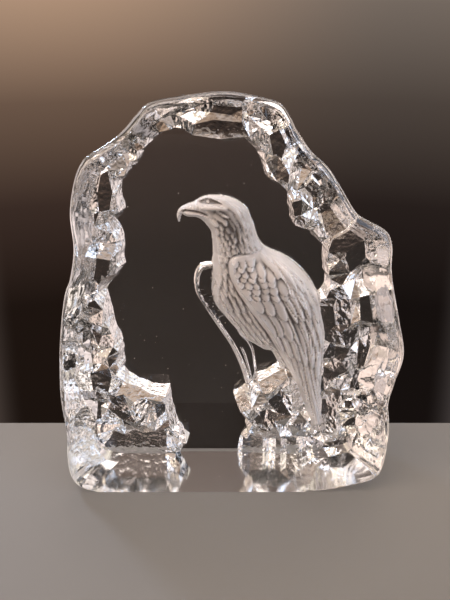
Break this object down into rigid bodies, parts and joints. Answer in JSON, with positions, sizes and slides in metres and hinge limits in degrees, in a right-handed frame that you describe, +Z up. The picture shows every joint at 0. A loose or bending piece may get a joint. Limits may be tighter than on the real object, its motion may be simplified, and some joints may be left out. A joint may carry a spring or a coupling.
{
  "type": "glass eagle sculpture",
  "caption": "Clear cast crystal block on a ground base, with a frosted eagle and a rim of rocks carved into its back.",
  "frame": {"origin": "centre of the block's footprint box, on the surface that it stands on", "axes": "+Z up, +X to the right as the eagle is viewed, +Y from the polished front face to the carved back"},
  "size_m": [0.132, 0.05, 0.16],
  "materials": {
    "crystal": "clear lead crystal, polished front and base, fire-polished wall, acid-frosted eagle"
  },
  "bodies": {
    "root": {"crystal_block": "crystal"}
  },
  "joints": []
}
